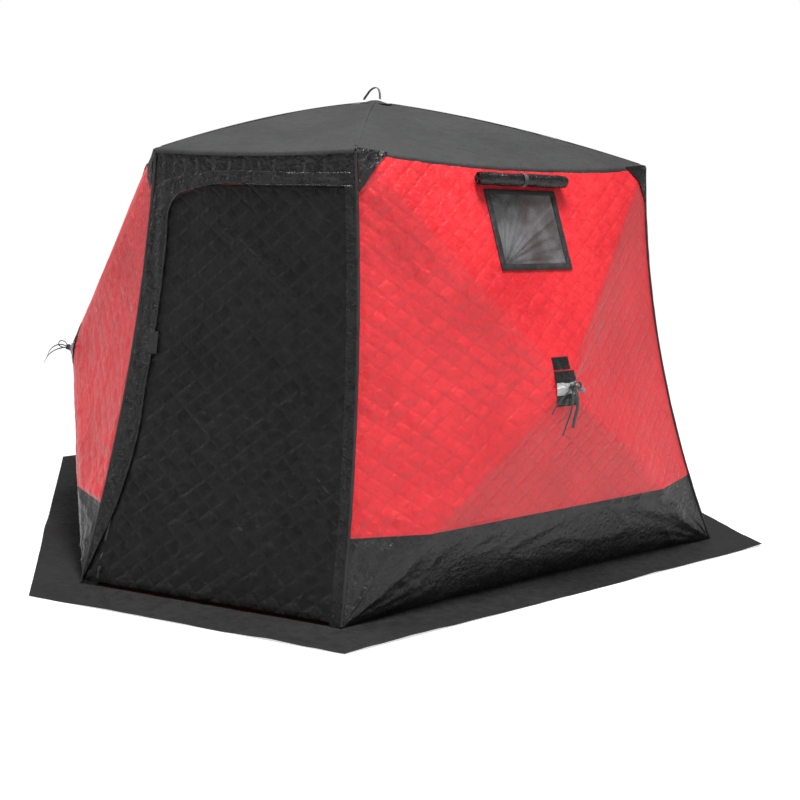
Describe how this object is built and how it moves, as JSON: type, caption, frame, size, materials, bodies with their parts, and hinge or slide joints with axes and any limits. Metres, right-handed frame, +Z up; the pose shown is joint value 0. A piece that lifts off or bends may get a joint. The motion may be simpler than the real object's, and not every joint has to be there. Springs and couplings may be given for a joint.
{
  "type": "ice fishing shelter",
  "caption": "Six-sided pop-up hub shelter with quilted insulated walls, a dark roof, an outer ground skirt, zipped doors and windows, on a folding pole frame.",
  "frame": {"origin": "on the ground, at the middle of the shelter's base outline", "axes": "+Z is up; +X runs from the left side corner to the right side corner, the longest way; the front door faces -Y"},
  "size_m": [3.8776, 3.6118, 2.064],
  "materials": {
    "red_quilt": "quilted woven polyester with a slight sheen",
    "dark_quilt": "quilted woven polyester with a slight sheen",
    "roof_cloth": "matt coated woven polyester",
    "skirt_cloth": "matt coated woven polyester",
    "zip_tape": "woven zip tape with moulded teeth",
    "binding": "folded binding tape, stitched",
    "clear_vinyl": "clear flexible vinyl",
    "webbing": "ribbed nylon webbing",
    "nylon": "moulded nylon",
    "steel": "plated steel",
    "fibreglass": "fibreglass rod with ferrules"
  },
  "bodies": {
    "shell": {"skirt": "skirt_cloth", "lower_bands": "dark_quilt", "wall_front_right": "red_quilt", "wall_back_right": "red_quilt", "wall_back_left": "red_quilt", "wall_front_left": "red_quilt", "roof_canopy": "roof_cloth", "corner_gussets": "roof_cloth", "door_surround_front": "dark_quilt", "door_surround_back": "dark_quilt", "zipper_front": "zip_tape", "zipper_back": "zip_tape", "window_frames": "binding", "window_panes": "clear_vinyl", "window_covers": "dark_quilt", "window_cover_ties": "webbing", "top_corner_forks": "nylon", "foot_corner_forks": "nylon", "hinge_pins": "steel"},
    "door_front": {"door_front": "dark_quilt"},
    "zip_slider_front": {"zip_slider_front": "steel"},
    "door_back": {"door_back": "dark_quilt"},
    "zip_slider_back": {"zip_slider_back": "steel"},
    "hub_front_right": {"hub_front_right": "nylon"},
    "pull_strap_front_right": {"pull_strap_front_right": "webbing"},
    "pole_front_right_lower_door": {"pole_front_right_lower_door": "fibreglass"},
    "pole_front_right_lower_side": {"pole_front_right_lower_side": "fibreglass"},
    "pole_front_right_upper_side": {"pole_front_right_upper_side": "fibreglass"},
    "pole_front_right_upper_door": {"pole_front_right_upper_door": "fibreglass"},
    "hub_back_right": {"hub_back_right": "nylon"},
    "pull_strap_back_right": {"pull_strap_back_right": "webbing"},
    "pole_back_right_lower_side": {"pole_back_right_lower_side": "fibreglass"},
    "pole_back_right_lower_door": {"pole_back_right_lower_door": "fibreglass"},
    "pole_back_right_upper_door": {"pole_back_right_upper_door": "fibreglass"},
    "pole_back_right_upper_side": {"pole_back_right_upper_side": "fibreglass"},
    "hub_back_left": {"hub_back_left": "nylon"},
    "pull_strap_back_left": {"pull_strap_back_left": "webbing"},
    "pole_back_left_lower_door": {"pole_back_left_lower_door": "fibreglass"},
    "pole_back_left_lower_side": {"pole_back_left_lower_side": "fibreglass"},
    "pole_back_left_upper_side": {"pole_back_left_upper_side": "fibreglass"},
    "pole_back_left_upper_door": {"pole_back_left_upper_door": "fibreglass"},
    "hub_front_left": {"hub_front_left": "nylon"},
    "pull_strap_front_left": {"pull_strap_front_left": "webbing"},
    "pole_front_left_lower_side": {"pole_front_left_lower_side": "fibreglass"},
    "pole_front_left_lower_door": {"pole_front_left_lower_door": "fibreglass"},
    "pole_front_left_upper_door": {"pole_front_left_upper_door": "fibreglass"},
    "pole_front_left_upper_side": {"pole_front_left_upper_side": "fibreglass"},
    "roof_hub": {"roof_hub": "nylon", "roof_cap": "roof_cloth"},
    "roof_pull_loop": {"roof_pull_loop": "webbing"},
    "roof_pole_front_right": {"roof_pole_front_right": "fibreglass"},
    "roof_pole_right": {"roof_pole_right": "fibreglass"},
    "roof_pole_back_right": {"roof_pole_back_right": "fibreglass"},
    "roof_pole_back_left": {"roof_pole_back_left": "fibreglass"},
    "roof_pole_left": {"roof_pole_left": "fibreglass"},
    "roof_pole_front_left": {"roof_pole_front_left": "fibreglass"}
  },
  "joints": [
    {"name": "door_front_swing", "type": "hinge", "parent": "shell", "child": "door_front", "pos_m": [0.51859, -1.62079, 0.018], "axis": [-0.0757, 0.2321, 0.9697], "range_deg": [0, 120]},
    {"name": "zip_front_slide", "type": "slide", "parent": "shell", "child": "zip_slider_front", "axis": [0.0741, 0.3065, 0.949], "range_m": [0, 0.732]},
    {"name": "door_back_swing", "type": "hinge", "parent": "shell", "child": "door_back", "pos_m": [-0.51859, 1.62079, 0.018], "axis": [0.0757, -0.2321, 0.9697], "range_deg": [0, 120]},
    {"name": "zip_back_slide", "type": "slide", "parent": "shell", "child": "zip_slider_back", "axis": [-0.0741, -0.3065, 0.949], "range_m": [0, 0.732]},
    {"name": "hub_front_right_pop", "type": "slide", "parent": "shell", "child": "hub_front_right", "axis": [-0.799, 0.5699, -0.1917], "range_m": [0, 0.4], "deforming": ["pull_strap_front_right"]},
    {"name": "pull_strap_front_right_swing", "type": "hinge", "parent": "hub_front_right", "child": "pull_strap_front_right", "pos_m": [1.19267, -0.85114, 0.8103], "axis": [-0.5807, -0.8141, 0], "range_deg": [0, 80]},
    {"name": "pole_front_right_lower_door_fold", "type": "hinge", "parent": "shell", "child": "pole_front_right_lower_door", "pos_m": [0.56409, -1.54149, 0.07747], "axis": [-0.474, -0.4007, 0.7841], "range_deg": [0, 19.61]},
    {"name": "pole_front_right_lower_side_fold", "type": "hinge", "parent": "shell", "child": "pole_front_right_lower_side", "pos_m": [1.64073, -0.03209, 0.07747], "axis": [-0.2246, -0.5787, -0.784], "range_deg": [0, 19.61]},
    {"name": "pole_front_right_upper_side_fold", "type": "hinge", "parent": "shell", "child": "pole_front_right_upper_side", "pos_m": [1.25011, -0.03283, 1.61293], "axis": [0.5504, 0.5646, -0.615], "range_deg": [0, 20.33]},
    {"name": "pole_front_right_upper_door_fold", "type": "hinge", "parent": "shell", "child": "pole_front_right_upper_door", "pos_m": [0.43772, -1.17177, 1.61293], "axis": [0.3547, 0.7042, 0.615], "range_deg": [0, 20.33]},
    {"name": "hub_back_right_pop", "type": "slide", "parent": "shell", "child": "hub_back_right", "axis": [-0.799, -0.5699, -0.1917], "range_m": [0, 0.4], "deforming": ["pull_strap_back_right"]},
    {"name": "pull_strap_back_right_swing", "type": "hinge", "parent": "hub_back_right", "child": "pull_strap_back_right", "pos_m": [1.19267, 0.85114, 0.8103], "axis": [0.5807, -0.8141, 0], "range_deg": [0, 80]},
    {"name": "pole_back_right_lower_side_fold", "type": "hinge", "parent": "shell", "child": "pole_back_right_lower_side", "pos_m": [1.64073, 0.03209, 0.07747], "axis": [0.2246, -0.5787, 0.784], "range_deg": [0, 19.61]},
    {"name": "pole_back_right_lower_door_fold", "type": "hinge", "parent": "shell", "child": "pole_back_right_lower_door", "pos_m": [0.56409, 1.54149, 0.07747], "axis": [0.474, -0.4007, -0.7841], "range_deg": [0, 19.61]},
    {"name": "pole_back_right_upper_door_fold", "type": "hinge", "parent": "shell", "child": "pole_back_right_upper_door", "pos_m": [0.43772, 1.17177, 1.61293], "axis": [-0.3547, 0.7042, -0.615], "range_deg": [0, 20.33]},
    {"name": "pole_back_right_upper_side_fold", "type": "hinge", "parent": "shell", "child": "pole_back_right_upper_side", "pos_m": [1.25011, 0.03283, 1.61293], "axis": [-0.5504, 0.5646, 0.615], "range_deg": [0, 20.33]},
    {"name": "hub_back_left_pop", "type": "slide", "parent": "shell", "child": "hub_back_left", "axis": [0.799, -0.5699, -0.1917], "range_m": [0, 0.4], "deforming": ["pull_strap_back_left"]},
    {"name": "pull_strap_back_left_swing", "type": "hinge", "parent": "hub_back_left", "child": "pull_strap_back_left", "pos_m": [-1.19267, 0.85114, 0.8103], "axis": [0.5807, 0.8141, 0], "range_deg": [0, 80]},
    {"name": "pole_back_left_lower_door_fold", "type": "hinge", "parent": "shell", "child": "pole_back_left_lower_door", "pos_m": [-0.56409, 1.54149, 0.07747], "axis": [0.474, 0.4007, 0.7841], "range_deg": [0, 19.61]},
    {"name": "pole_back_left_lower_side_fold", "type": "hinge", "parent": "shell", "child": "pole_back_left_lower_side", "pos_m": [-1.64073, 0.03209, 0.07747], "axis": [0.2246, 0.5787, -0.784], "range_deg": [0, 19.61]},
    {"name": "pole_back_left_upper_side_fold", "type": "hinge", "parent": "shell", "child": "pole_back_left_upper_side", "pos_m": [-1.25011, 0.03283, 1.61293], "axis": [-0.5504, -0.5646, -0.615], "range_deg": [0, 20.33]},
    {"name": "pole_back_left_upper_door_fold", "type": "hinge", "parent": "shell", "child": "pole_back_left_upper_door", "pos_m": [-0.43772, 1.17177, 1.61293], "axis": [-0.3547, -0.7042, 0.615], "range_deg": [0, 20.33]},
    {"name": "hub_front_left_pop", "type": "slide", "parent": "shell", "child": "hub_front_left", "axis": [0.799, 0.5699, -0.1917], "range_m": [0, 0.4], "deforming": ["pull_strap_front_left"]},
    {"name": "pull_strap_front_left_swing", "type": "hinge", "parent": "hub_front_left", "child": "pull_strap_front_left", "pos_m": [-1.19267, -0.85114, 0.8103], "axis": [-0.5807, 0.8141, 0], "range_deg": [0, 80]},
    {"name": "pole_front_left_lower_side_fold", "type": "hinge", "parent": "shell", "child": "pole_front_left_lower_side", "pos_m": [-1.64073, -0.03209, 0.07747], "axis": [-0.2246, 0.5787, 0.784], "range_deg": [0, 19.61]},
    {"name": "pole_front_left_lower_door_fold", "type": "hinge", "parent": "shell", "child": "pole_front_left_lower_door", "pos_m": [-0.56409, -1.54149, 0.07747], "axis": [-0.474, 0.4007, -0.7841], "range_deg": [0, 19.61]},
    {"name": "pole_front_left_upper_door_fold", "type": "hinge", "parent": "shell", "child": "pole_front_left_upper_door", "pos_m": [-0.43772, -1.17177, 1.61293], "axis": [0.3547, -0.7042, -0.615], "range_deg": [0, 20.33]},
    {"name": "pole_front_left_upper_side_fold", "type": "hinge", "parent": "shell", "child": "pole_front_left_upper_side", "pos_m": [-1.25011, -0.03283, 1.61293], "axis": [0.5504, -0.5646, 0.615], "range_deg": [0, 20.33]},
    {"name": "roof_hub_pop", "type": "slide", "parent": "shell", "child": "roof_hub", "axis": [0, 0, -1], "range_m": [0, 0.58]},
    {"name": "roof_pull_loop_fold", "type": "hinge", "parent": "roof_hub", "child": "roof_pull_loop", "pos_m": [0, 0, 2.008], "axis": [1, 0, 0], "range_deg": [-60, 60]},
    {"name": "roof_pole_front_right_fold", "type": "hinge", "parent": "shell", "child": "roof_pole_front_right", "pos_m": [0.39313, -1.14305, 1.655], "axis": [-0.9456, -0.3252, 0], "range_deg": [0, 27.01]},
    {"name": "roof_pole_right_fold", "type": "hinge", "parent": "shell", "child": "roof_pole_right", "pos_m": [1.20843, 0, 1.655], "axis": [0, -1, 0], "range_deg": [0, 27.02]},
    {"name": "roof_pole_back_right_fold", "type": "hinge", "parent": "shell", "child": "roof_pole_back_right", "pos_m": [0.39313, 1.14305, 1.655], "axis": [0.9456, -0.3252, 0], "range_deg": [0, 27.01]},
    {"name": "roof_pole_back_left_fold", "type": "hinge", "parent": "shell", "child": "roof_pole_back_left", "pos_m": [-0.39313, 1.14305, 1.655], "axis": [0.9456, 0.3252, 0], "range_deg": [0, 27.01]},
    {"name": "roof_pole_left_fold", "type": "hinge", "parent": "shell", "child": "roof_pole_left", "pos_m": [-1.20843, 0, 1.655], "axis": [0, 1, 0], "range_deg": [0, 27.02]},
    {"name": "roof_pole_front_left_fold", "type": "hinge", "parent": "shell", "child": "roof_pole_front_left", "pos_m": [-0.39313, -1.14305, 1.655], "axis": [-0.9456, 0.3252, 0], "range_deg": [0, 27.01]}
  ],
  "couplings": [
    {"joint": "pole_front_right_lower_door_fold", "follows": "hub_front_right_pop", "rad_per_m": 0.85358},
    {"joint": "pole_front_right_lower_side_fold", "follows": "hub_front_right_pop", "rad_per_m": 0.85362},
    {"joint": "pole_front_right_upper_side_fold", "follows": "hub_front_right_pop", "rad_per_m": 0.88504},
    {"joint": "pole_front_right_upper_door_fold", "follows": "hub_front_right_pop", "rad_per_m": 0.88509},
    {"joint": "pole_back_right_lower_side_fold", "follows": "hub_back_right_pop", "rad_per_m": 0.85362},
    {"joint": "pole_back_right_lower_door_fold", "follows": "hub_back_right_pop", "rad_per_m": 0.85358},
    {"joint": "pole_back_right_upper_door_fold", "follows": "hub_back_right_pop", "rad_per_m": 0.88509},
    {"joint": "pole_back_right_upper_side_fold", "follows": "hub_back_right_pop", "rad_per_m": 0.88504},
    {"joint": "pole_back_left_lower_door_fold", "follows": "hub_back_left_pop", "rad_per_m": 0.85358},
    {"joint": "pole_back_left_lower_side_fold", "follows": "hub_back_left_pop", "rad_per_m": 0.85362},
    {"joint": "pole_back_left_upper_side_fold", "follows": "hub_back_left_pop", "rad_per_m": 0.88504},
    {"joint": "pole_back_left_upper_door_fold", "follows": "hub_back_left_pop", "rad_per_m": 0.88509},
    {"joint": "pole_front_left_lower_side_fold", "follows": "hub_front_left_pop", "rad_per_m": 0.85362},
    {"joint": "pole_front_left_lower_door_fold", "follows": "hub_front_left_pop", "rad_per_m": 0.85358},
    {"joint": "pole_front_left_upper_door_fold", "follows": "hub_front_left_pop", "rad_per_m": 0.88509},
    {"joint": "pole_front_left_upper_side_fold", "follows": "hub_front_left_pop", "rad_per_m": 0.88504},
    {"joint": "roof_pole_front_right_fold", "follows": "roof_hub_pop", "rad_per_m": 0.81122},
    {"joint": "roof_pole_right_fold", "follows": "roof_hub_pop", "rad_per_m": 0.81144},
    {"joint": "roof_pole_back_right_fold", "follows": "roof_hub_pop", "rad_per_m": 0.81122},
    {"joint": "roof_pole_back_left_fold", "follows": "roof_hub_pop", "rad_per_m": 0.81122},
    {"joint": "roof_pole_left_fold", "follows": "roof_hub_pop", "rad_per_m": 0.81144},
    {"joint": "roof_pole_front_left_fold", "follows": "roof_hub_pop", "rad_per_m": 0.81122}
  ]
}
